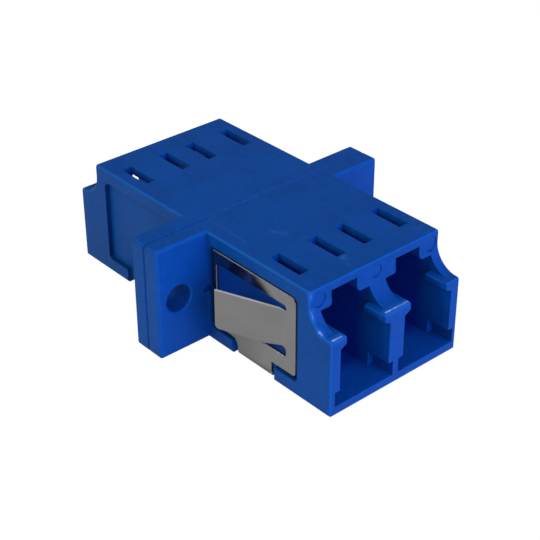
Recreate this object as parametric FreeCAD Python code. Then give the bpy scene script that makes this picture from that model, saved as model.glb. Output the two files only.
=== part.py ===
import FreeCAD, Part
import math
import os

# Duplex fibre adapter: two identical moulded halves welded at the flange, two split sleeves
# trapped between them, and a sprung sheet clip folded round the front half.
# Millimetres. X runs along the ports, Y across them, Z up.
# The origin is the middle of the base, on the weld plane.

V = FreeCAD.Vector

# Housing half, from the weld plane to the port face
BODY_WIDTH = 12.8
BODY_HEIGHT = 9.3
BODY_REACH = 14.7
LEDGE_DROP = 3.0
LEDGE_FLAT = 0.25
SCOOP_RADIUS = 2.0
BODY_CORNER = 0.2
BODY_EDGE = 0.14
FLOOR_THICKNESS = 0.8
ROOF_THICKNESS = 0.65

# Flange
FLANGE_WIDTH = 22.0
FLANGE_THICKNESS = 3.0
FLANGE_CORNER = 0.35
FLANGE_EDGE = 0.2
SEAM_CHAMFER = 0.12
HOLE_MARGIN = 1.9
HOLE_DIAMETER = 2.2
HOLE_CHAMFER = 0.12

# Ports, sized round the square body of the mating plug
PORT_PITCH = 6.25
PLUG_WIDTH = 4.52
PLUG_CLEARANCE = 0.08
MOUTH_DEPTH = 2.0
LEAD_LENGTH = 0.5
WALL_LEAD = 0.06
NUB_LEAD = 0.14
GROOVE_WIDTH = 5.7
GROOVE_HEIGHT = 1.2
NUB_GAP = 3.44
NUB_HEIGHT = 0.85
NUB_SLOPE = 0.3
NUB_ROUND = 0.25
LATCH_WIDTH = 2.44
CATCH_FACE = 10.3
CATCH_HEIGHT = 1.1
CATCH_ROUND = 0.3
POCKET_LENGTH = 3.12
POCKET_BACK_HEIGHT = 0.8
SLOT_WIDTH = 0.89
SLOT_SPACING = 3.58

# Barrels and split sleeves
FERRULE_DIAMETER = 1.25
SLEEVE_WALL = 0.185
SLEEVE_LENGTH = 6.8
SLEEVE_SLIT = 0.3
SLEEVE_CLEARANCE = 0.06
SLEEVE_END_PLAY = 0.05
BARREL_DIAMETER = 3.0
BARREL_LIP = 0.7
LIP_CLEARANCE = 0.1
LIP_FLARE = 0.2

# Pins and sockets that line up the halves on the weld plane
PIN_DIAMETER = 1.2
PIN_LENGTH = 0.9
PIN_INSET = 1.4
PIN_DROP = 2.2
SOCKET_CLEARANCE = 0.05

# Shallow ejector marks on the end of the roof
MARK_DEPTH = 0.07
CENTRE_MARK_DIAMETER = 1.0
OUTER_MARK_DIAMETER = 1.2
OUTER_MARK_INSET = 0.9
MARK_DROP = 0.9

# Recess for the clip
RECESS_GAP = 0.28
RECESS_END_INSET = 1.2
RECESS_BOTTOM = 1.2
RECESS_DROP = 1.07
RECESS_DEPTH = 0.35
RECESS_CORNER = 0.6
UNDER_RECESS_DEPTH = 0.25
UNDER_RECESS_INSET = 2.4
RELIEF_WIDTH = 0.75
RELIEF_BOTTOM = 4.2
RELIEF_HEIGHT = 0.55
RELIEF_DEPTH = 0.2

# Panel clip
SHEET = 0.2
CLIP_GAP = 0.2
CLIP_FRONT_GAP = 0.33
CLIP_TOP_GAP = 0.33
BEND_RADIUS = 0.12
CLIP_CORNER = 0.5
CLIP_FOOT_CORNER = 0.3
BAND_GAP = 0.5
BAND_FILLET = 0.8
REAR_STRIP = 0.32
FRONT_STRIP = 0.97
LOWER_STRIP = 1.15
UPPER_STRIP = 0.95
WINDOW_CORNER = 0.35
LOWER_TONGUE_GAP = 0.65
UPPER_TONGUE_GAP = 0.5
TONGUE_ROOT = 0.4
TONGUE_ANGLE = 21.5
TONGUE_LENGTH = 5.5
TONGUE_BEND_RADIUS = 0.6
TONGUE_CORNER = 0.35
ROOT_NOTCH_LENGTH = 1.3
ROOT_NOTCH_HEIGHT = 0.22

# Cutting tools reach this far past the surfaces that they open, and joined parts into each other
OVERCUT = 0.5
OVERLAP = 0.5
TOLERANCE = 1e-6

HALF_BODY = BODY_WIDTH / 2
HALF_FLANGE = FLANGE_THICKNESS / 2
LEDGE_HEIGHT = BODY_HEIGHT - LEDGE_DROP
ROOF_REACH = BODY_REACH - LEDGE_FLAT - SCOOP_RADIUS
CAVITY_WIDTH = PLUG_WIDTH + 2 * PLUG_CLEARANCE
CAVITY_TOP = FLOOR_THICKNESS + CAVITY_WIDTH
AXIS_HEIGHT = FLOOR_THICKNESS + CAVITY_WIDTH / 2
CEILING = BODY_HEIGHT - ROOF_THICKNESS
CATCH_TIP = CEILING - CATCH_HEIGHT
POCKET_START = CATCH_FACE - POCKET_LENGTH
SLEEVE_RADIUS = FERRULE_DIAMETER / 2 + SLEEVE_WALL
BARREL_BORE_RADIUS = SLEEVE_RADIUS + SLEEVE_CLEARANCE
BARREL_LIP_START = SLEEVE_LENGTH / 2 + SLEEVE_END_PLAY
BARREL_REACH = BARREL_LIP_START + BARREL_LIP
LIP_RADIUS = FERRULE_DIAMETER / 2 + LIP_CLEARANCE
RECESS_WALL = HALF_BODY - RECESS_DEPTH
RECESS_START = HALF_FLANGE + RECESS_GAP
RECESS_END = ROOF_REACH - RECESS_END_INSET
RECESS_TOP = BODY_HEIGHT - RECESS_DROP
UNDER_RECESS_START = RECESS_START + UNDER_RECESS_INSET
UNDER_RECESS_END = RECESS_END - UNDER_RECESS_INSET
CLIP_START = RECESS_START + CLIP_GAP
CLIP_END = RECESS_END - CLIP_FRONT_GAP
CLIP_BOTTOM = RECESS_BOTTOM + CLIP_GAP
CLIP_TOP = RECESS_TOP - CLIP_TOP_GAP
WINDOW_START = CLIP_START + REAR_STRIP
WINDOW_END = CLIP_END - FRONT_STRIP
WINDOW_BOTTOM = CLIP_BOTTOM + LOWER_STRIP
WINDOW_TOP = CLIP_TOP - UPPER_STRIP
TONGUE_START = WINDOW_END - TONGUE_ROOT
TONGUE_BOTTOM = WINDOW_BOTTOM + LOWER_TONGUE_GAP
TONGUE_TOP = WINDOW_TOP - UPPER_TONGUE_GAP
NOTCH_TOP = TONGUE_BOTTOM + ROOT_NOTCH_HEIGHT

PLANES = {
    "xy": lambda u, v, w: V(u, v, w),
    "xz": lambda u, v, w: V(u, w, v),
    "yz": lambda u, v, w: V(w, u, v),
}


def rounded_corner(before, corner, after, radius):
    """Start, middle and end of the arc that rounds one corner of an outline."""
    to_before = (before - corner).normalize()
    to_after = (after - corner).normalize()
    half_angle = to_before.getAngle(to_after) / 2
    setback = radius / math.tan(half_angle)
    inward = (to_before + to_after).normalize()
    middle = corner + inward * (radius / math.sin(half_angle) - radius)
    return corner + to_before * setback, middle, corner + to_after * setback


def outline(corners):
    """Edges of a closed outline, given as (u, v) or (u, v, radius), in the plane of u and v."""
    points = [V(corner[0], corner[1], 0) for corner in corners]
    radii = [corner[2] if len(corner) == 3 else 0 for corner in corners]
    arcs = []
    for index, point in enumerate(points):
        after = points[(index + 1) % len(points)]
        if radii[index]:
            arcs.append(rounded_corner(points[index - 1], point, after, radii[index]))
        else:
            arcs.append((point, None, point))
    return arcs


def face_on(plane, corners, level):
    """Face of a rounded outline on a plane parallel to two axes."""
    place = PLANES[plane]
    arcs = outline(corners)
    edges = []
    for index, (start, middle, end) in enumerate(arcs):
        previous_end = arcs[index - 1][2]
        if previous_end.distanceToPoint(start) > TOLERANCE:
            edges.append(Part.LineSegment(place(previous_end.x, previous_end.y, level),
                                          place(start.x, start.y, level)).toShape())
        if middle is not None:
            edges.append(Part.Arc(*[place(p.x, p.y, level) for p in (start, middle, end)]).toShape())
    return Part.Face(Part.Wire(edges))


def extruded(plane, corners, start, end):
    """Solid of a rounded outline between two levels."""
    return face_on(plane, corners, start).extrude(PLANES[plane](0, 0, end - start))


def rectangle(u0, u1, v0, v1, radius=0):
    """Corners of a rectangle, all with the same radius."""
    return [(u0, v0, radius), (u1, v0, radius), (u1, v1, radius), (u0, v1, radius)]


def turned(profile, centre_y, centre_z):
    """Solid of a profile of (x, radius) points turned about an axis along X."""
    points = [V(x, centre_y + radius, centre_z) for x, radius in profile]
    face = Part.Face(Part.makePolygon(points + points[:1]))
    return face.revolve(V(0, centre_y, centre_z), V(1, 0, 0), 360)


def both_sides(shape):
    """A shape and its mirror image across the middle plane of the ports."""
    return [shape, shape.mirror(V(0, 0, 0), V(0, 1, 0))]


def edges_near(shape, test):
    """Edges of a shape whose two ends both satisfy a test."""
    return [edge for edge in shape.Edges if all(test(vertex.Point) for vertex in edge.Vertexes)]


def body_block():
    """Closed block of one half, with the scooped end that leaves room for the latch lever."""
    inner_end = HALF_FLANGE - OVERLAP
    side_view = [
        (inner_end, 0),
        (BODY_REACH, 0, BODY_CORNER),
        (BODY_REACH, LEDGE_HEIGHT, BODY_CORNER),
        (ROOF_REACH, LEDGE_HEIGHT, SCOOP_RADIUS),
        (ROOF_REACH, BODY_HEIGHT, BODY_CORNER),
        (inner_end, BODY_HEIGHT),
    ]
    block = extruded("xz", side_view, -HALF_BODY, HALF_BODY)
    side_edges = [
        edge for edge in block.Edges
        if abs(abs(edge.CenterOfMass.y) - HALF_BODY) < TOLERANCE
        and edge.CenterOfMass.x > inner_end + TOLERANCE
    ]
    return block.makeChamfer(BODY_EDGE, side_edges)


def flange_slab():
    """Flange half with rounded ears and a chamfer on its front edge and at the seam."""
    half_width = FLANGE_WIDTH / 2
    front_view = rectangle(-half_width, half_width, 0, BODY_HEIGHT, FLANGE_CORNER)
    slab = extruded("yz", front_view, 0, HALF_FLANGE)
    slab = slab.makeChamfer(FLANGE_EDGE, edges_near(slab, lambda p: abs(p.x - HALF_FLANGE) < TOLERANCE))
    return slab.makeChamfer(SEAM_CHAMFER, edges_near(slab, lambda p: abs(p.x) < TOLERANCE))


def flange_hole(side):
    """Screw hole with a softened mouth at the flange face."""
    radius = HOLE_DIAMETER / 2
    profile = [
        (-OVERCUT, 0),
        (-OVERCUT, radius),
        (HALF_FLANGE - HOLE_CHAMFER, radius),
        (HALF_FLANGE, radius + HOLE_CHAMFER),
        (HALF_FLANGE + OVERCUT, radius + HOLE_CHAMFER),
        (HALF_FLANGE + OVERCUT, 0),
    ]
    return turned(profile, side * (FLANGE_WIDTH / 2 - HOLE_MARGIN), BODY_HEIGHT / 2)


def port_stage(centre, side_corners, start, end):
    """Stretch of a port whose section is one list of (half width, height, radius) and its mirror."""
    right = [(centre + half, height, radius) for half, height, radius in side_corners]
    left = [(centre - half, height, radius) for half, height, radius in reversed(side_corners)]
    return extruded("yz", right + left, start, end)


def mouth_leads(centre):
    """Tapers that widen the mouth of a port at its walls and at its nubs."""
    leads = []
    for half_width, lead, bottom, top in (
        (CAVITY_WIDTH / 2, WALL_LEAD, FLOOR_THICKNESS + GROOVE_HEIGHT, CAVITY_TOP),
        (NUB_GAP / 2, NUB_LEAD, CAVITY_TOP, LEDGE_HEIGHT + OVERCUT),
    ):
        wide = half_width + lead
        top_view = [
            (BODY_REACH - LEAD_LENGTH, centre - half_width),
            (BODY_REACH, centre - wide),
            (BODY_REACH + OVERCUT, centre - wide),
            (BODY_REACH + OVERCUT, centre + wide),
            (BODY_REACH, centre + wide),
            (BODY_REACH - LEAD_LENGTH, centre + half_width),
        ]
        leads.append(extruded("xy", top_view, bottom, top))
    return leads


def port_void(side):
    """Everything that is open in one port: the plug's cavity, its latch path and its mouth."""
    centre = side * PORT_PITCH / 2
    cavity = CAVITY_WIDTH / 2
    latch = LATCH_WIDTH / 2
    neck = NUB_GAP / 2
    groove = GROOVE_WIDTH / 2
    catch_part = [(cavity, CATCH_TIP, 0), (latch, CATCH_TIP, CATCH_ROUND), (latch, CEILING, 0)]
    mouth_part = [
        (groove, FLOOR_THICKNESS, 0),
        (groove, FLOOR_THICKNESS + GROOVE_HEIGHT, 0),
        (cavity, FLOOR_THICKNESS + GROOVE_HEIGHT, 0),
        (cavity, CAVITY_TOP, 0),
        (neck, CAVITY_TOP + NUB_SLOPE, NUB_ROUND),
        (neck, CAVITY_TOP + NUB_HEIGHT, NUB_ROUND),
        (cavity, CAVITY_TOP + NUB_HEIGHT, 0),
    ]
    mouth_start = BODY_REACH - MOUTH_DEPTH
    floor = (cavity, FLOOR_THICKNESS, 0)
    inner = port_stage(centre, [floor, (cavity, CAVITY_TOP, 0)], HALF_FLANGE, POCKET_START)
    pocket = port_stage(centre, [floor, (cavity, CEILING, 0)], POCKET_START, CATCH_FACE)
    throat = port_stage(centre, [floor] + catch_part, CATCH_FACE, mouth_start)
    mouth = port_stage(centre, mouth_part + catch_part, mouth_start, BODY_REACH + OVERCUT)
    slope = [
        (HALF_FLANGE, AXIS_HEIGHT),
        (POCKET_START, AXIS_HEIGHT),
        (POCKET_START, CEILING),
        (HALF_FLANGE, CAVITY_TOP + POCKET_BACK_HEIGHT),
    ]
    lever_room = extruded("xz", slope, centre - cavity, centre + cavity)
    return inner.fuse([pocket, throat, mouth, lever_room] + mouth_leads(centre))


def latch_slots(side):
    """The two slots in the roof that shape the back of the latch catches of one port."""
    slots = []
    for offset in (-SLOT_SPACING / 2, SLOT_SPACING / 2):
        middle = side * PORT_PITCH / 2 + offset
        top_view = rectangle(POCKET_START, CATCH_FACE, middle - SLOT_WIDTH / 2, middle + SLOT_WIDTH / 2)
        slots.append(extruded("xy", top_view, CEILING - OVERCUT, BODY_HEIGHT + OVERCUT))
    return slots


def barrel(side):
    """Half of a sleeve barrel, standing on the partition at the flange."""
    radius = BARREL_DIAMETER / 2
    profile = [
        (HALF_FLANGE - OVERLAP, 0),
        (HALF_FLANGE - OVERLAP, radius),
        (BARREL_REACH, radius),
        (BARREL_REACH, 0),
    ]
    return turned(profile, side * PORT_PITCH / 2, AXIS_HEIGHT)


def barrel_bore(side):
    """Bore that holds the sleeve, stepped in at a lip that is a funnel for the ferrule."""
    profile = [
        (-OVERCUT, 0),
        (-OVERCUT, BARREL_BORE_RADIUS),
        (BARREL_LIP_START, BARREL_BORE_RADIUS),
        (BARREL_LIP_START, LIP_RADIUS),
        (BARREL_REACH, LIP_RADIUS + LIP_FLARE),
        (BARREL_REACH + OVERCUT, LIP_RADIUS + LIP_FLARE),
        (BARREL_REACH + OVERCUT, 0),
    ]
    return turned(profile, side * PORT_PITCH / 2, AXIS_HEIGHT)


def clip_recess():
    """Shallow recess on both side walls, joined under the base where the clip's band passes."""
    side_view = [
        (RECESS_START, RECESS_BOTTOM),
        (RECESS_END, RECESS_BOTTOM, RECESS_CORNER / 2),
        (RECESS_END, RECESS_TOP, RECESS_CORNER),
        (RECESS_START, RECESS_TOP),
    ]
    outside = HALF_BODY + OVERCUT
    wall = extruded("xz", side_view, RECESS_WALL, outside)
    around_view = rectangle(-outside, outside, -OVERCUT, RECESS_BOTTOM)
    core_view = rectangle(-RECESS_WALL, RECESS_WALL, UNDER_RECESS_DEPTH, BODY_HEIGHT, BEND_RADIUS)
    around = extruded("yz", around_view, UNDER_RECESS_START, UNDER_RECESS_END)
    core = extruded("yz", core_view, UNDER_RECESS_START - OVERCUT, UNDER_RECESS_END + OVERCUT)
    return both_sides(wall) + [around.cut(core)]


def flange_relief():
    """Round-topped notch from each recess into the flange face."""
    top = RELIEF_BOTTOM + RELIEF_HEIGHT
    front_view = [
        (RECESS_WALL, RELIEF_BOTTOM),
        (RECESS_WALL + RELIEF_WIDTH, RELIEF_BOTTOM),
        (RECESS_WALL + RELIEF_WIDTH, top, RELIEF_WIDTH / 2),
        (RECESS_WALL, top, RELIEF_WIDTH / 2),
    ]
    return both_sides(extruded("yz", front_view, HALF_FLANGE - RELIEF_DEPTH, RECESS_START + OVERLAP))


def ejector_marks():
    """Shallow round marks on the end of the roof."""
    marks = []
    outer_middle = HALF_BODY - OUTER_MARK_INSET
    for middle, diameter in (
        (0, CENTRE_MARK_DIAMETER),
        (-outer_middle, OUTER_MARK_DIAMETER),
        (outer_middle, OUTER_MARK_DIAMETER),
    ):
        base = V(ROOF_REACH - MARK_DEPTH, middle, BODY_HEIGHT - MARK_DROP)
        marks.append(Part.makeCylinder(diameter / 2, OVERCUT, base, V(1, 0, 0)))
    return marks


def locating_pin():
    """Pin on the weld plane that enters the other half's socket."""
    base = V(-PIN_LENGTH, PIN_INSET - HALF_BODY, BODY_HEIGHT - PIN_DROP)
    return Part.makeCylinder(PIN_DIAMETER / 2, PIN_LENGTH + OVERLAP, base, V(1, 0, 0))


def locating_socket():
    """Socket for the pin of the other half."""
    base = V(-OVERCUT, HALF_BODY - PIN_INSET, BODY_HEIGHT - PIN_DROP)
    depth = OVERCUT + PIN_LENGTH + SOCKET_CLEARANCE
    return Part.makeCylinder(PIN_DIAMETER / 2 + SOCKET_CLEARANCE, depth, base, V(1, 0, 0))


def housing_half():
    """One moulded half, with its ports facing +X and its weld face on the plane x = 0."""
    sides = (-1, 1)
    half = body_block().fuse(flange_slab()).removeSplitter()
    half = half.cut([port_void(side) for side in sides])
    half = half.fuse([barrel(side) for side in sides])
    openings = clip_recess() + flange_relief() + ejector_marks() + [locating_socket()]
    for side in sides:
        openings += latch_slots(side)
        openings.append(barrel_bore(side))
        openings.append(flange_hole(side))
    return half.cut(openings).fuse(locating_pin()).removeSplitter()


def split_sleeve(side):
    """Ceramic sleeve with a slit along its top, centred on the weld plane."""
    half_length = SLEEVE_LENGTH / 2
    inner = FERRULE_DIAMETER / 2
    profile = [
        (-half_length, inner),
        (-half_length, SLEEVE_RADIUS),
        (half_length, SLEEVE_RADIUS),
        (half_length, inner),
    ]
    centre = side * PORT_PITCH / 2
    slit_view = rectangle(centre - SLEEVE_SLIT / 2, centre + SLEEVE_SLIT / 2,
                          AXIS_HEIGHT, AXIS_HEIGHT + SLEEVE_RADIUS + OVERCUT)
    slit = extruded("yz", slit_view, -half_length - OVERCUT, half_length + OVERCUT)
    return turned(profile, centre, AXIS_HEIGHT).cut(slit)


def clip_channel():
    """The sheet bent to a U that hugs the recess floors, before its outline is cut."""
    outer_half = RECESS_WALL + SHEET
    floor = UNDER_RECESS_DEPTH
    front_view = [
        (-outer_half, CLIP_TOP),
        (-outer_half, floor - SHEET, BEND_RADIUS + SHEET),
        (outer_half, floor - SHEET, BEND_RADIUS + SHEET),
        (outer_half, CLIP_TOP),
        (RECESS_WALL, CLIP_TOP),
        (RECESS_WALL, floor, BEND_RADIUS),
        (-RECESS_WALL, floor, BEND_RADIUS),
        (-RECESS_WALL, CLIP_TOP),
    ]
    return extruded("yz", front_view, CLIP_START, CLIP_END)


def clip_outline():
    """Side view of the clip: a plate with a narrower band that goes under the base."""
    band_start = UNDER_RECESS_START + BAND_GAP
    band_end = UNDER_RECESS_END - BAND_GAP
    side_view = [
        (CLIP_START, CLIP_BOTTOM, CLIP_FOOT_CORNER),
        (band_start, CLIP_BOTTOM, BAND_FILLET),
        (band_start, -OVERCUT),
        (band_end, -OVERCUT),
        (band_end, CLIP_BOTTOM),
        (CLIP_END, CLIP_BOTTOM, CLIP_FOOT_CORNER),
        (CLIP_END, CLIP_TOP, CLIP_CORNER),
        (CLIP_START, CLIP_TOP),
    ]
    return extruded("xz", side_view, -BODY_WIDTH, BODY_WIDTH)


def clip_window():
    """Opening round the tongue of each plate, with round ends above and below its root."""
    side_view = [
        (WINDOW_START, WINDOW_BOTTOM, WINDOW_CORNER),
        (WINDOW_END, WINDOW_BOTTOM, LOWER_TONGUE_GAP / 2),
        (WINDOW_END, NOTCH_TOP, LOWER_TONGUE_GAP / 2),
        (TONGUE_START, NOTCH_TOP),
        (TONGUE_START, TONGUE_TOP),
        (WINDOW_END, TONGUE_TOP, UPPER_TONGUE_GAP / 2),
        (WINDOW_END, WINDOW_TOP, UPPER_TONGUE_GAP / 2),
        (WINDOW_START, WINDOW_TOP, WINDOW_CORNER),
    ]
    return extruded("xz", side_view, -BODY_WIDTH, BODY_WIDTH)


def clip_tongue():
    """Sprung tongue bent out of the right-hand plate, its free end facing the flange."""
    angle = math.radians(TONGUE_ANGLE)
    inner_radius = TONGUE_BEND_RADIUS
    outer_radius = TONGUE_BEND_RADIUS + SHEET
    straight = TONGUE_LENGTH - angle * (inner_radius + SHEET / 2)
    pivot = V(TONGUE_START, RECESS_WALL + SHEET + inner_radius, TONGUE_BOTTOM)
    run = V(-math.cos(angle), math.sin(angle), 0) * straight
    root = V(TONGUE_ROOT / 2, 0, 0)

    def on_arc(radius, turn):
        return pivot + V(-math.sin(turn), -math.cos(turn), 0) * radius

    loop = [on_arc(outer_radius, 0) + root, on_arc(outer_radius, 0), on_arc(outer_radius, angle),
            on_arc(outer_radius, angle) + run, on_arc(inner_radius, angle) + run,
            on_arc(inner_radius, angle), on_arc(inner_radius, 0), on_arc(inner_radius, 0) + root]
    middles = {1: on_arc(outer_radius, angle / 2), 5: on_arc(inner_radius, angle / 2)}
    edges = []
    for index, point in enumerate(loop):
        following = loop[(index + 1) % len(loop)]
        if index in middles:
            edges.append(Part.Arc(point, middles[index], following).toShape())
        else:
            edges.append(Part.LineSegment(point, following).toShape())
    tongue = Part.Face(Part.Wire(edges)).extrude(V(0, 0, TONGUE_TOP - TONGUE_BOTTOM))
    tip_x = (on_arc(inner_radius, angle) + run).x
    tip_edges = edges_near(tongue, lambda p: p.x < tip_x + SHEET and p.z < TONGUE_BOTTOM + TOLERANCE)
    lower_tip_corner = [edge for edge in tip_edges if abs(edge.Length - SHEET) < TOLERANCE]
    notch = [
        (TONGUE_START - ROOT_NOTCH_LENGTH, TONGUE_BOTTOM),
        (TONGUE_START, NOTCH_TOP),
        (WINDOW_END, NOTCH_TOP),
        (WINDOW_END, TONGUE_BOTTOM - OVERCUT),
        (TONGUE_START - ROOT_NOTCH_LENGTH, TONGUE_BOTTOM - OVERCUT),
    ]
    return tongue.makeFillet(TONGUE_CORNER, lower_tip_corner).cut(extruded("xz", notch, 0, BODY_WIDTH))


def panel_clip():
    """Folded clip: plate, band and plate, each plate with a window and a sprung tongue."""
    plates = clip_channel().common(clip_outline()).cut(clip_window())
    return plates.fuse(both_sides(clip_tongue())).removeSplitter()


def save(name, shape):
    """Write one piece, which has to be a single valid solid."""
    if len(shape.Solids) != 1 or not shape.isValid():
        raise ValueError(name + " is not one valid solid")
    solid = shape.Solids[0]
    solid.exportStep("parts/" + name + ".step")
    print(name, round(solid.Volume, 3), "mm3")


def main():
    os.makedirs("parts", exist_ok=True)
    front = housing_half()
    rear = front.copy()
    rear.rotate(V(0, 0, 0), V(0, 0, 1), 180)
    save("front_housing", front)
    save("rear_housing", rear)
    save("left_sleeve", split_sleeve(1))
    save("right_sleeve", split_sleeve(-1))
    save("panel_clip", panel_clip())


main()
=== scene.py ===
"""Finishes, stage and camera for a duplex fibre adapter."""

import math

import bmesh
import bpy
from bpy.props import FloatProperty, FloatVectorProperty, PointerProperty
from bpy.types import Operator, Panel, PropertyGroup
from mathutils import Matrix, Vector

bl_info = {
    "name": "Duplex fibre adapter",
    "version": (1, 0, 0),
    "blender": (4, 5, 0),
    "location": "3D View > Sidebar > Adapter",
    "description": "Plastic, steel and ceramic finishes for a duplex fibre adapter, with its stage",
    "category": "Object",
}

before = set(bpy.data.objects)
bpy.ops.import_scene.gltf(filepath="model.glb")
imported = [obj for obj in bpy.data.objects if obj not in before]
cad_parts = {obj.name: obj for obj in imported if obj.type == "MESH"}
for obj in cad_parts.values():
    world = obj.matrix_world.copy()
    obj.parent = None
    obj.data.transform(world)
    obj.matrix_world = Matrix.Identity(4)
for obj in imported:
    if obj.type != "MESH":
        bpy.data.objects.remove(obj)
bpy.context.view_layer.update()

MM = 0.001

# Lines of wear and moulding marks on the plastic, in millimetres; the ledge and scoop edges also
# carry a painted highlight
LEDGE_EDGES = (
    ((14.42, -0.95, 6.3), (14.42, 1.4, 6.3)),
    ((14.44, -6.1, 6.3), (14.44, -5.25, 6.3)),
    ((-14.42, -1.2, 6.3), (-14.42, 0.6, 6.3)),
)
SCOOP_EDGES = (
    ((12.5, -6.3, 9.0), (12.55, -6.32, 8.75)),
    ((12.6, -6.32, 7.7), (12.75, -6.32, 7.35)),
    ((13.35, -6.3, 6.55), (13.6, -6.3, 6.45)),
)
RUB_MARKS = (
    ((-9.6, -4.6, 9.3), (-8.4, -5.3, 9.3)),
    ((10.3, 5.75, 9.3), (11.8, 5.5, 9.3)),
    ((10.6, -1.4, 9.3), (11.4, -1.9, 9.3)),
    ((4.6, -3.1, 9.3), (5.4, -2.2, 9.3)),
)
WITNESS_LINE = ((0.1, -5.1, 9.3), (4.6, -5.3, 9.3))
SEAM_LINE = ((0.0, -4.8, 9.25), (0.0, 9.0, 9.25))

# Outline of the clip's recess in a side wall, along and up, in millimetres
RECESS_MIDDLE = (6.515, 4.715)
RECESS_HALF_SIZE = (4.735, 3.515)
RECESS_CORNER = 0.45

# Fades, in millimetres: a mask is 0 at the first number and 1 at the second.
# Across the adapter from its middle
ON_SIDE_WALL = (5.8, 5.95)
BETWEEN_WALLS = (5.95, 5.75)
ON_CLIP_SKIN = (6.12, 6.17)
# Along the adapter from the weld
FRONT_HALF = (0.0, 0.5)
OFF_WELD = (0.2, 0.4)
OFF_FLANGE = (1.5, 1.7)
BEHIND_MOUTH = (12.3, 11.2)
SCOOPED_END = (12.5, 12.6)
UNDER_TONGUE = (8.8, 4.5)
# Up from the base
ABOVE_FLOOR = (0.4, 0.7)
BELOW_ROOF = (9.1, 8.7)
BELOW_RECESS_TOP = (8.1, 7.7)
ABOVE_LEDGE = (6.3, 6.4)
LOW_SLOT = (3.4, 2.9)
LOW_CLIP = (3.0, 2.6)
CLIP_FOLD = (0.9, 0.15)
ABOVE_FOLD = (0.65, 0.75)
# In from the outline of the recess
INSIDE_OUTLINE = (-0.03, 0.03)
NEAR_OUTLINE = (0.13, 0.03)
OUTSIDE_CLIP = (0.46, 0.38)
BEHIND_CLIP = (0.3, 0.5)

# Fades by how squarely a face looks along an axis, from 0 to 1
SLANTED = (0.92, 0.8)
SQUARE_ON = (0.6, 0.9)
NOT_SIDEWAYS = (0.4, 0.2)

# How strongly each tone and mark of the plastic shows, from 0 to 1
BLOOM = 0.35
# Painted highlight on the chamfers, and its share on the flange's chamfers
CHAMFER_HIGHLIGHT = 0.4
FLANGE_CHAMFER = 0.35
# Painted highlight in a wide band along the ledge and scoop edges; the rub marks' share is real
# polish
EDGE_HIGHLIGHT = 0.6
RUB_POLISH = 0.4
RUB_PALENESS = 0.04
WITNESS_PALENESS = 0.025
SEAM_PALENESS = 0.03
# Wear and painted highlight along the ledge and scoop edges, everywhere and in chips
WORN_AND_HIGHLIT_EVERYWHERE = 0.2
WORN_AND_HIGHLIT_IN_CHIPS = 0.7
# Painted shade deep in the ports and slots, and behind the clip
DEEP_SHADE = 0.8
SHADE_BEHIND_CLIP = 0.8
GAP_SHADE = 0.9
LOW_SLOT_SHADE = 0.5
RECESS_EDGE_SHADE = 0.35

# How strongly each tone and mark of the steel shows, from 0 to 1
STREAKS = 0.2
TONGUE_SHADE = 0.36
FOLD_SHADE = 0.75
CUT_SHADE = 0.9
DULLER_ENDS = 0.4
SHEARED_METAL_LOSS = 0.85

# The photographer's camera
CAMERA_AIM = (0.0, 0.0, 4.7 * MM)
CAMERA_DISTANCE = 105.594 * MM
CAMERA_BEARING = 49.199
CAMERA_ELEVATION = 31.098
CAMERA_ROLL = -0.403
CAMERA_SENSOR = 36.0
CAMERA_LENS = 91.145
CAMERA_SHIFT = (0.01825, -0.04172)
CAMERA_CLIP = (5 * MM, 5.0)

# The studio, with lengths in metres
FLOOR_REACH = 1.5
FLOOR_GLOW = 1.1
WHITE = (1.0, 1.0, 1.0)

# Sockets of a colour Mix node, which share their names with its other kinds
MIX_FACTOR, MIX_FIRST, MIX_SECOND, MIX_RESULT = 0, 6, 7, 2


class Value:
    """A socket in a material or world; arithmetic on it adds Math nodes."""

    def __init__(self, finish, socket):
        self.finish = finish
        self.socket = socket

    def maths(self, operation, *others, clamp=False):
        settings = {"operation": operation, "use_clamp": clamp}
        return self.finish.node("ShaderNodeMath", settings, dict(enumerate((self,) + others)))

    def __add__(self, other):
        return self.maths("ADD", other)

    __radd__ = __add__

    def __sub__(self, other):
        return self.maths("SUBTRACT", other)

    def __rsub__(self, other):
        return self.finish.node("ShaderNodeMath", {"operation": "SUBTRACT"}, {0: other, 1: self})

    def __mul__(self, other):
        return self.maths("MULTIPLY", other)

    __rmul__ = __mul__

    def __abs__(self):
        return self.maths("ABSOLUTE")

    def most(self, other):
        return self.maths("MAXIMUM", other)

    def ramp(self, low, high):
        """0 at low and 1 at high, with soft ends; low may lie above high."""
        settings = {"interpolation_type": "SMOOTHSTEP"}
        places = {"Value": self, "From Min": min(low, high), "From Max": max(low, high)}
        if low > high:
            places.update({"To Min": 1.0, "To Max": 0.0})
        return self.finish.node("ShaderNodeMapRange", settings, places)

    def swing(self, amount):
        """A noise's variation to each side of 0, scaled by an amount."""
        return amount * (self - 0.5)


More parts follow.
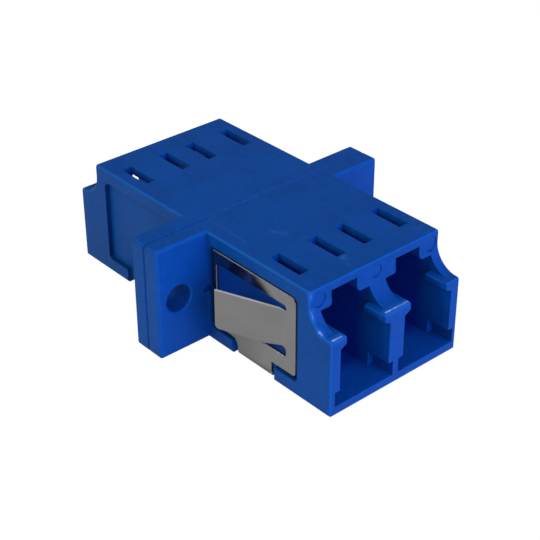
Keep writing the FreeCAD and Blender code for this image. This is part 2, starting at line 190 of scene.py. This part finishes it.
class Finish:
    """The nodes of a material or world, with a single way to add any of them."""

    def __init__(self, owner):
        self.owner = owner
        owner.use_nodes = True
        self.tree = owner.node_tree
        self.tree.nodes.clear()

    def node(self, kind, settings=None, places=None, output=0):
        """Add a node: settings first, then its sockets' values or links."""
        node = self.tree.nodes.new(kind)
        for name, value in (settings or {}).items():
            setattr(node, name, value)
        for place, value in (places or {}).items():
            if isinstance(value, Value):
                self.tree.links.new(value.socket, node.inputs[place])
            else:
                node.inputs[place].default_value = value
        return Value(self, node.outputs[output]) if node.outputs else None

    def several(self, kind, places, names):
        """Add a node and give the outputs that are named."""
        outputs = self.node(kind, {}, places).socket.node.outputs
        return [Value(self, outputs[name]) for name in names]

    def vector(self, operation, first, second, output="Vector"):
        places = {0: first, 1: second}
        return self.node("ShaderNodeVectorMath", {"operation": operation}, places, output)

    def stretch(self, place, factors):
        """The place with each axis scaled, which draws a noise out along the smaller ones."""
        return self.vector("MULTIPLY", place, factors)

    def place(self):
        """Place on the object in millimetres, as a vector."""
        place = self.node("ShaderNodeTexCoord", output="Object")
        return self.stretch(place, (1 / MM, 1 / MM, 1 / MM))

    def split(self, vector):
        """The three numbers of a vector."""
        return self.several("ShaderNodeSeparateXYZ", {"Vector": vector}, ("X", "Y", "Z"))

    def facing(self):
        """How squarely the surface looks along each axis, from 0 to 1."""
        normal = self.node("ShaderNodeTexCoord", output="Normal")
        return [abs(part) for part in self.split(normal)]

    def noise(self, vector, scale, detail, roughness=0.5):
        places = {"Vector": vector, "Scale": scale, "Detail": detail, "Roughness": roughness}
        return self.node("ShaderNodeTexNoise", {}, places, "Fac")

    def near_line(self, place, start, end, width):
        """1 on the line between two points, fading to 0 over a width."""
        along = Vector(end) - Vector(start)
        from_start = self.vector("SUBTRACT", place, start)
        share = self.vector("DOT_PRODUCT", from_start, tuple(along), "Value")
        share = share.maths("DIVIDE", along.length_squared, clamp=True)
        reached = self.node("ShaderNodeVectorMath", {"operation": "SCALE"},
                            {"Vector": tuple(along), "Scale": share})
        return self.vector("DISTANCE", from_start, reached, "Value").ramp(width, 0.0)

    def near_lines(self, place, lines, width):
        """near_line added up over several lines."""
        total = 0.0
        for start, end in lines:
            total = self.near_line(place, start, end, width) + total
        return total

    def mix(self, factor, first, second):
        """Colour between two colours."""
        places = {MIX_FACTOR: factor, MIX_FIRST: first, MIX_SECOND: second}
        return self.node("ShaderNodeMix", {"data_type": "RGBA"}, places, MIX_RESULT)

    def bump(self, height, strength, distance, edge_radius):
        """Normal of a surface with a relief and rounded sharp edges."""
        rounded = self.node("ShaderNodeBevel", {"samples": 6}, {"Radius": edge_radius})
        places = {"Height": height, "Strength": strength, "Distance": distance, "Normal": rounded}
        return self.node("ShaderNodeBump", {}, places)

    def surface(self, places):
        self.show(self.node("ShaderNodeBsdfPrincipled", {}, places))

    def show(self, shader):
        self.node("ShaderNodeOutputMaterial", {}, {"Surface": shader})


def colour(triple):
    """A colour as a socket takes it, held within the range of a paint."""
    return tuple(min(max(level, 0.0), 1.0) for level in triple) + (1.0,)


class ADAPTER_PG_housing(PropertyGroup):
    """Colours and texture of the moulded housing."""

    body_colour: FloatVectorProperty(
        name="Plastic", description="Colour of the moulded plastic", subtype="COLOR",
        size=3, min=0, max=1, default=(0.002, 0.09, 0.365))
    # Also the colour of the painted highlight along the ledge and scoop edges
    worn_and_highlit_colour: FloatVectorProperty(
        name="Wear", description="Colour of scuffs and worn edges", subtype="COLOR",
        size=3, min=0, max=1, default=(0.7, 0.8, 0.88))
    roughness: FloatProperty(
        name="Roughness", description="Roughness of the plastic", subtype="FACTOR",
        min=0, max=1, default=0.5)


class ADAPTER_PG_clip(PropertyGroup):
    """Colour and texture of the spring steel clip."""

    steel_colour: FloatVectorProperty(
        name="Steel", description="Colour of the rolled sheet", subtype="COLOR",
        size=3, min=0, max=1, default=(0.247, 0.243, 0.226))
    edge_colour: FloatVectorProperty(
        name="Sheared edge", description="Colour of the sheet's cut edges", subtype="COLOR",
        size=3, min=0, max=1, default=(0.9, 0.86, 0.72))
    roughness: FloatProperty(
        name="Roughness", description="Roughness of the sheet", subtype="FACTOR",
        min=0, max=1, default=0.17)


class ADAPTER_PG_stage(PropertyGroup):
    """Brightness of the studio."""

    surround: FloatProperty(
        name="Surround", description="Brightness of the room round the stage", min=0, max=4,
        default=0.23)
    key: FloatProperty(
        name="Key light", description="Power of the light in front of the ports", unit="POWER",
        min=0, max=10, default=1.06)
    key_colour: FloatVectorProperty(
        name="Key tint", description="Cool tint of the light in front of the ports",
        subtype="COLOR", size=3, min=0, max=1, default=(0.4, 0.49, 1.0))
    fill: FloatProperty(
        name="Fill light", description="Power of the light on the side of the clip", unit="POWER",
        min=0, max=10, default=0.45)
    floor_colour: FloatVectorProperty(
        name="Floor", description="Colour of the floor", subtype="COLOR",
        size=3, min=0, max=1, default=(0.8, 0.8, 0.8))


def dress(node_name, finish):
    """Give a carried-over piece its finish."""
    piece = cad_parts[node_name]
    piece.data.materials.clear()
    piece.data.materials.append(finish.owner)


def recess_depth(along, up):
    """Distance in from the recess's outline: its corner radius at most, negative outside."""
    sides = []
    for place, middle, half in zip((abs(along), up), RECESS_MIDDLE, RECESS_HALF_SIZE):
        sides.append((abs(place - middle) - (half - RECESS_CORNER)).most(0.0))
    return RECESS_CORNER - (sides[0] * sides[0] + sides[1] * sides[1]).maths("SQRT")


def dark_places(along, across, up):
    """Shade of the gap round the clip, the slot low behind it and the empty recess's edge."""
    depth = recess_depth(along, up)
    front_half = along.ramp(*FRONT_HALF)
    gap = depth.ramp(*INSIDE_OUTLINE) * depth.ramp(*OUTSIDE_CLIP) * front_half
    low_slot = LOW_SLOT_SHADE * depth.ramp(*BEHIND_CLIP) * front_half * up.ramp(*LOW_SLOT)
    lower_or_front = up.ramp(*BELOW_RECESS_TOP).most(front_half)
    recess_edge = RECESS_EDGE_SHADE * abs(depth).ramp(*NEAR_OUTLINE) * lower_or_front
    shade = recess_edge.most(GAP_SHADE * gap).most(low_slot)
    return shade * abs(across).ramp(*ON_SIDE_WALL)


def deep_places(along, across, up):
    """Mask of a painted shade: 1 deep in the ports and slots and less behind the clip, where only
    blue light is left.
    """
    inside = abs(across).ramp(*BETWEEN_WALLS) * up.ramp(*ABOVE_FLOOR) * up.ramp(*BELOW_ROOF)
    in_ports = inside * abs(along).ramp(*BEHIND_MOUTH)
    in_recess = recess_depth(along, up).ramp(*BEHIND_CLIP) * along.ramp(*FRONT_HALF)
    behind_clip = in_recess * abs(across).ramp(*ON_SIDE_WALL)
    return in_ports.most(SHADE_BEHIND_CLIP * behind_clip)


def chamfers(finish, along, up):
    """Mask of the painted highlight on the narrow chamfers: 1 where they face between the axes, but
    not on the scoops.
    """
    facing = finish.facing()
    from_weld = abs(along)
    slanted = facing[0].most(facing[1]).most(facing[2]).ramp(*SLANTED)
    on_scoop = from_weld.ramp(*SCOOPED_END) * up.ramp(*ABOVE_LEDGE) * facing[1].ramp(*NOT_SIDEWAYS)
    on_body = FLANGE_CHAMFER + (1.0 - FLANGE_CHAMFER) * from_weld.ramp(*OFF_FLANGE)
    return slanted * (1.0 - on_scoop) * from_weld.ramp(*OFF_WELD) * on_body


def moulded_plastic(sizes):
    """Satin plastic with a fine grain, pale wear, painted highlights on the edges, rub marks and a
    painted shade of deeper blue inside.
    """
    finish = Finish(bpy.data.materials.new("moulded_plastic"))
    place = finish.place()
    along, across, up = finish.split(place)
    cloud = finish.noise(place, scale=0.22, detail=3.0)
    mottle = finish.noise(place, scale=1.7, detail=4.0, roughness=0.65)
    grain = finish.noise(place, scale=9.0, detail=4.0, roughness=0.6)
    drawn_out = finish.stretch(place, (0.4, 1.5, 1.5))
    smear = finish.noise(drawn_out, scale=0.8, detail=4.0, roughness=0.6)
    squeezed = finish.stretch(place, (2.5, 1.0, 1.0))
    chips = finish.noise(squeezed, scale=2.3, detail=5.0, roughness=0.75)

    body = Vector(sizes.body_colour)
    bloom = colour(1.25 * body + Vector((0.004, 0.02, 0.02)))
    # Paler blue for the painted highlights on the chamfers and edges, and for the polish of the rub
    # marks
    highlight_and_polish = colour(1.5 * body + Vector((0.01, 0.05, 0.08)))
    # Painted shade: a darker, deeper blue for the inside of the ports and slots and behind the clip
    deep_shade = colour((0.5 * body.x, 0.35 * body.y, 0.85 * body.z))
    paint = finish.mix(cloud.ramp(0.35, 0.65), colour(0.88 * body), colour(body))
    paint = finish.mix(BLOOM * mottle.ramp(0.5, 0.72), paint, bloom)
    # Painted highlight on the chamfers, weaker on the flange
    paint = finish.mix(CHAMFER_HIGHLIGHT * chamfers(finish, along, up), paint, highlight_and_polish)

    edges = LEDGE_EDGES + SCOOP_EDGES
    # Wear and a painted highlight, broken into chips, along the ledge and scoop edges
    worn_and_highlit = finish.near_lines(place, edges, width=0.14).ramp(0.1, 0.7)
    worn_and_highlit = worn_and_highlit * (WORN_AND_HIGHLIT_EVERYWHERE + WORN_AND_HIGHLIT_IN_CHIPS * chips.ramp(0.42, 0.6))
    # Painted highlight: a wide pale band along the ledge and scoop edges
    polished = finish.near_lines(place, edges, width=0.5)
    rubbed = finish.near_lines(place, RUB_MARKS, width=0.5) * mottle.ramp(0.4, 0.7)
    witness = finish.near_line(place, *WITNESS_LINE, width=0.1)
    seam = finish.near_line(place, *SEAM_LINE, width=0.2)
    # Painted highlight along the ledge and scoop edges, and real polish on the rub marks
    paint = finish.mix((EDGE_HIGHLIGHT * polished).most(RUB_POLISH * rubbed), paint, highlight_and_polish)
    lines = (WITNESS_PALENESS * witness).most(SEAM_PALENESS * seam)
    pale = worn_and_highlit.most(lines).most(RUB_PALENESS * rubbed)
    # Pale wear and painted highlight on the edges, with the pale witness, seam and rub lines
    paint = finish.mix(pale, paint, colour(sizes.worn_and_highlit_colour))
    # Painted shade deep in the ports and slots and behind the clip
    paint = finish.mix(DEEP_SHADE * deep_places(along, across, up), paint, deep_shade)
    paint = finish.mix(dark_places(along, across, up), paint, colour(0.08 * body))

    relief = 0.6 * grain + 0.4 * smear + 0.8 * witness
    finish.surface({
        "Base Color": paint,
        "Roughness": sizes.roughness + smear.swing(0.12) + grain.swing(0.08) + 0.15 * pale,
        "Normal": finish.bump(relief, strength=0.25, distance=0.02 * MM, edge_radius=0.09 * MM),
        "Specular IOR Level": 0.1,
    })
    return finish


def rolled_steel(sizes):
    """Spring steel, brushed along the clip, with bright sheared edges and a shaded fold."""
    finish = Finish(bpy.data.materials.new("rolled_steel"))
    place = finish.place()
    along, across, up = finish.split(place)
    brushed = finish.stretch(place, (0.2, 9.0, 9.0))
    streak = finish.noise(brushed, scale=1.6, detail=3.0, roughness=0.6)
    cloud = finish.noise(place, scale=0.5, detail=3.0, roughness=0.6)
    facing = finish.facing()
    end_face = facing[0].ramp(*SQUARE_ON)
    cut = end_face.most(facing[2].ramp(*SQUARE_ON) * up.ramp(*ABOVE_FOLD))
    sheared = cut * abs(across).ramp(*ON_CLIP_SKIN) * (1.0 - DULLER_ENDS * end_face)

    steel = Vector(sizes.steel_colour)
    tone = finish.mix(cloud.ramp(0.3, 0.7), colour(0.93 * steel), colour(steel))
    tone = finish.mix(STREAKS * streak.ramp(0.45, 0.75), tone, colour(1.2 * steel))
    under_tongue = TONGUE_SHADE * along.ramp(*UNDER_TONGUE) * up.ramp(*LOW_CLIP)
    shade = under_tongue.most(FOLD_SHADE * up.ramp(*CLIP_FOLD))
    tone = finish.mix(shade, tone, colour(0.25 * steel))
    tone = finish.mix(CUT_SHADE * cut, tone, colour(0.1 * steel))
    tone = finish.mix(sheared, tone, colour(sizes.edge_colour))
    finish.surface({
        "Base Color": tone,
        "Metallic": 1.0 - SHEARED_METAL_LOSS * sheared,
        "Roughness": sizes.roughness + streak.swing(0.1) + cloud.swing(0.06),
        "Normal": finish.bump(streak, strength=0.12, distance=0.01 * MM, edge_radius=0.04 * MM),
    })
    return finish


def zirconia():
    """Ground and polished ceramic."""
    finish = Finish(bpy.data.materials.new("zirconia"))
    place = finish.place()
    cloud = finish.noise(place, scale=1.2, detail=3.0)
    rings = finish.noise(finish.stretch(place, (7.0, 0.5, 0.5)), scale=2.0, detail=2.0)
    finish.surface({
        "Base Color": finish.mix(cloud, colour((0.82, 0.81, 0.76)), colour((0.9, 0.89, 0.85))),
        "Roughness": 0.18 + 0.08 * cloud,
        "Normal": finish.bump(rings, strength=0.1, distance=0.005 * MM, edge_radius=0.03 * MM),
    })
    return finish


class ADAPTER_OT_housing(Operator):
    """Finish both halves of the moulded housing"""

    bl_idname = "adapter.housing"
    bl_label = "Moulded housing"

    def execute(self, context):
        finish = moulded_plastic(context.scene.adapter_housing)
        dress("front_housing", finish)
        dress("rear_housing", finish)
        return {"FINISHED"}


class ADAPTER_OT_sleeves(Operator):
    """Finish the split sleeves"""

    bl_idname = "adapter.sleeves"
    bl_label = "Split sleeves"

    def execute(self, context):
        finish = zirconia()
        dress("left_sleeve", finish)
        dress("right_sleeve", finish)
        return {"FINISHED"}


class ADAPTER_OT_clip(Operator):
    """Finish the sprung panel clip"""

    bl_idname = "adapter.clip"
    bl_label = "Panel clip"

    def execute(self, context):
        dress("panel_clip", rolled_steel(context.scene.adapter_clip))
        return {"FINISHED"}


def aim(item, bearing, elevation, roll, distance):
    """Point a camera or light at the adapter, from a bearing and elevation in degrees."""
    turn = (Matrix.Rotation(math.radians(bearing), 3, "Z")
            @ Matrix.Rotation(math.radians(90 - elevation), 3, "X")
            @ Matrix.Rotation(math.radians(roll), 3, "Z"))
    item.location = Vector(CAMERA_AIM) + turn @ Vector((0, 0, distance))
    item.rotation_euler = turn.to_euler()
    bpy.context.scene.collection.objects.link(item)


def add_camera():
    data = bpy.data.cameras.new("photo_camera")
    data.sensor_width = CAMERA_SENSOR
    data.lens = CAMERA_LENS
    data.shift_x, data.shift_y = CAMERA_SHIFT
    data.clip_start, data.clip_end = CAMERA_CLIP
    camera = bpy.data.objects.new("photo_camera", data)
    aim(camera, CAMERA_BEARING, CAMERA_ELEVATION, CAMERA_ROLL, CAMERA_DISTANCE)
    bpy.context.scene.camera = camera


def add_softbox(name, bearing, elevation, distance, size, power, tint=WHITE):
    """Square area light that points at the adapter."""
    data = bpy.data.lights.new(name, "AREA")
    data.shape = "SQUARE"
    data.size = size
    data.energy = power
    data.color = tint
    aim(bpy.data.objects.new(name, data), bearing, elevation, 0, distance)


def background_rays(finish, camera_share, mirror_share):
    """Share of a white background, by what looks at it: the camera, or metal and glass."""
    names = ("Is Camera Ray", "Is Glossy Ray", "Is Transmission Ray")
    camera, glossy, through = finish.several("ShaderNodeLightPath", {}, names)
    return (camera_share * camera).most(mirror_share * glossy.most(through))


def add_floor(sizes):
    """White floor that keeps the adapter's shadow and is clear from below."""
    mesh = bpy.data.meshes.new("studio_floor")
    bm = bmesh.new()
    bmesh.ops.create_grid(bm, x_segments=1, y_segments=1, size=FLOOR_REACH)
    bm.to_mesh(mesh)
    bm.free()
    floor = bpy.data.objects.new("studio_floor", mesh)
    bpy.context.scene.collection.objects.link(floor)
    finish = Finish(bpy.data.materials.new("studio_floor"))
    seen = background_rays(finish, camera_share=0.88, mirror_share=0.55)
    paper = finish.node("ShaderNodeBsdfDiffuse", {}, {"Color": colour(sizes.floor_colour)})
    glow = {"Color": colour(WHITE), "Strength": FLOOR_GLOW}
    white = finish.node("ShaderNodeEmission", {}, glow)
    shaded = finish.node("ShaderNodeMixShader", {}, {0: seen, 1: paper, 2: white})
    below = finish.node("ShaderNodeNewGeometry", output="Backfacing")
    clear = finish.node("ShaderNodeBsdfTransparent")
    finish.show(finish.node("ShaderNodeMixShader", {}, {0: below, 1: shaded, 2: clear}))
    mesh.materials.append(finish.owner)


def add_room(sizes):
    """White world to the camera, and a dim one to the adapter."""
    world = bpy.data.worlds.new("studio_room")
    bpy.context.scene.world = world
    finish = Finish(world)
    strength = background_rays(finish, camera_share=1.0, mirror_share=0.25).most(sizes.surround)
    light = {"Color": colour(WHITE), "Strength": strength}
    white = finish.node("ShaderNodeBackground", {}, light)
    finish.node("ShaderNodeOutputWorld", {}, {"Surface": white})


class ADAPTER_OT_stage(Operator):
    """Add the floor, the soft lights, the room and the camera"""

    bl_idname = "adapter.stage"
    bl_label = "Stage"

    def execute(self, context):
        sizes = context.scene.adapter_stage
        add_floor(sizes)
        add_room(sizes)
        add_softbox("key_softbox", bearing=92, elevation=22, distance=0.3, size=0.3,
                    power=sizes.key, tint=sizes.key_colour)
        add_softbox("side_softbox", bearing=-20, elevation=38, distance=0.35, size=0.3,
                    power=sizes.fill)
        add_camera()
        context.scene.view_settings.view_transform = "Standard"
        return {"FINISHED"}


GROUPS = {
    "adapter_housing": ADAPTER_PG_housing,
    "adapter_clip": ADAPTER_PG_clip,
    "adapter_stage": ADAPTER_PG_stage,
}
OPERATORS = (ADAPTER_OT_housing, ADAPTER_OT_sleeves, ADAPTER_OT_clip, ADAPTER_OT_stage)


class ADAPTER_PT_pieces(Panel):
    """Lists the sizes and colours, and the pieces of the adapter"""

    bl_idname = "ADAPTER_PT_pieces"
    bl_label = "Fibre adapter"
    bl_space_type = "VIEW_3D"
    bl_region_type = "UI"
    bl_category = "Adapter"

    def draw(self, context):
        for group in GROUPS:
            sizes = getattr(context.scene, group)
            box = self.layout.box()
            for name in sizes.bl_rna.properties.keys():
                if name not in ("rna_type", "name"):
                    box.prop(sizes, name)
        for operator in OPERATORS:
            self.layout.operator(operator.bl_idname)


def register():
    for name, group in GROUPS.items():
        bpy.utils.register_class(group)
        setattr(bpy.types.Scene, name, PointerProperty(type=group))
    for operator in OPERATORS:
        bpy.utils.register_class(operator)
    bpy.utils.register_class(ADAPTER_PT_pieces)


def unregister():
    bpy.utils.unregister_class(ADAPTER_PT_pieces)
    for operator in reversed(OPERATORS):
        bpy.utils.unregister_class(operator)
    for name, group in reversed(GROUPS.items()):
        delattr(bpy.types.Scene, name)
        bpy.utils.unregister_class(group)


def main():
    register()
    bpy.ops.adapter.housing()
    bpy.ops.adapter.sleeves()
    bpy.ops.adapter.clip()
    bpy.ops.adapter.stage()


if __name__ == "__main__":
    main()
